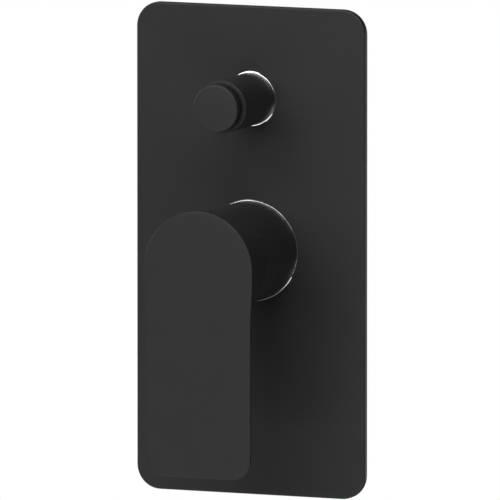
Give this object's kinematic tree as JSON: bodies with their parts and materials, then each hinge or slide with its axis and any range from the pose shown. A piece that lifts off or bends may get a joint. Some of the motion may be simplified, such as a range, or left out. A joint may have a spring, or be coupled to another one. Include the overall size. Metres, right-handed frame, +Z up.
{
  "type": "concealed shower mixer",
  "caption": "Matte black wall plate with a flat-paddle mixer lever and a push-button diverter, on a brass valve body that sits hidden in the wall.",
  "frame": {"origin": "on the handle axis, where it crosses the finished wall", "axes": "+X right seen from the room, +Y into the wall, +Z up"},
  "size_m": [0.11, 0.1204, 0.22],
  "materials": {
    "matte_black": "matte",
    "polished_trim": "polished",
    "foam": "matte",
    "black_rubber": "matte",
    "black_plastic": "matte",
    "cartridge_plastic": "satin",
    "alumina": "ground",
    "steel": "satin",
    "raw_brass": "cast and machined"
  },
  "bodies": {
    "body": {"mixer_body": "raw_brass", "riser_pipe": "raw_brass", "diverter_body": "raw_brass", "face_plate": "matte_black", "plate_gasket": "foam", "handle_trim_ring": "polished_trim", "diverter_trim_ring": "polished_trim", "handle_ring_seal": "black_rubber", "diverter_ring_seal": "black_rubber", "handle_sleeve": "matte_black", "sleeve_seal": "black_rubber", "cartridge_nut": "raw_brass", "cartridge_housing": "cartridge_plastic", "cartridge_base": "cartridge_plastic", "hot_port_seal": "black_rubber", "cold_port_seal": "black_rubber", "mixed_port_seal": "black_rubber", "fixed_disc": "alumina", "disc_seal": "black_rubber", "diverter_shroud": "matte_black", "shroud_seal": "black_rubber", "diverter_gland": "raw_brass", "rod_seal": "black_rubber", "rear_plug": "raw_brass"},
    "rotor": {"lever_rotor": "cartridge_plastic", "lever_pin": "steel"},
    "handle": {"lever_handle": "matte_black", "handle_grub_screw": "steel", "handle_grub_plug": "black_plastic", "cartridge_stem": "raw_brass"},
    "discs": {"disc_carrier": "cartridge_plastic", "moving_disc": "alumina"},
    "button": {"diverter_button": "matte_black", "diverter_rod": "raw_brass", "front_washer": "black_rubber", "rear_washer": "black_rubber", "button_spring": "steel"}
  },
  "joints": [
    {"name": "handle_turn", "type": "hinge", "parent": "body", "child": "rotor", "pos_m": [0, -0.023, 0], "axis": [0, 1, 0], "range_deg": [-50, 50]},
    {"name": "handle_lift", "type": "hinge", "parent": "rotor", "child": "handle", "pos_m": [0, -0.023, 0], "axis": [-1, 0, 0], "range_deg": [0, 22]},
    {"name": "disc_slide", "type": "slide", "parent": "rotor", "child": "discs", "axis": [0, 0, -1], "range_m": [0, 0.00285]},
    {"name": "button_press", "type": "slide", "parent": "body", "child": "button", "axis": [0, 1, 0], "range_m": [0, 0.0045], "stiffness_N_per_m": 800, "springref_m": -0.006, "deforming": ["button_spring"]}
  ],
  "couplings": [
    {"joint": "disc_slide", "follows": "handle_lift", "m_per_rad": 0.007317}
  ]
}
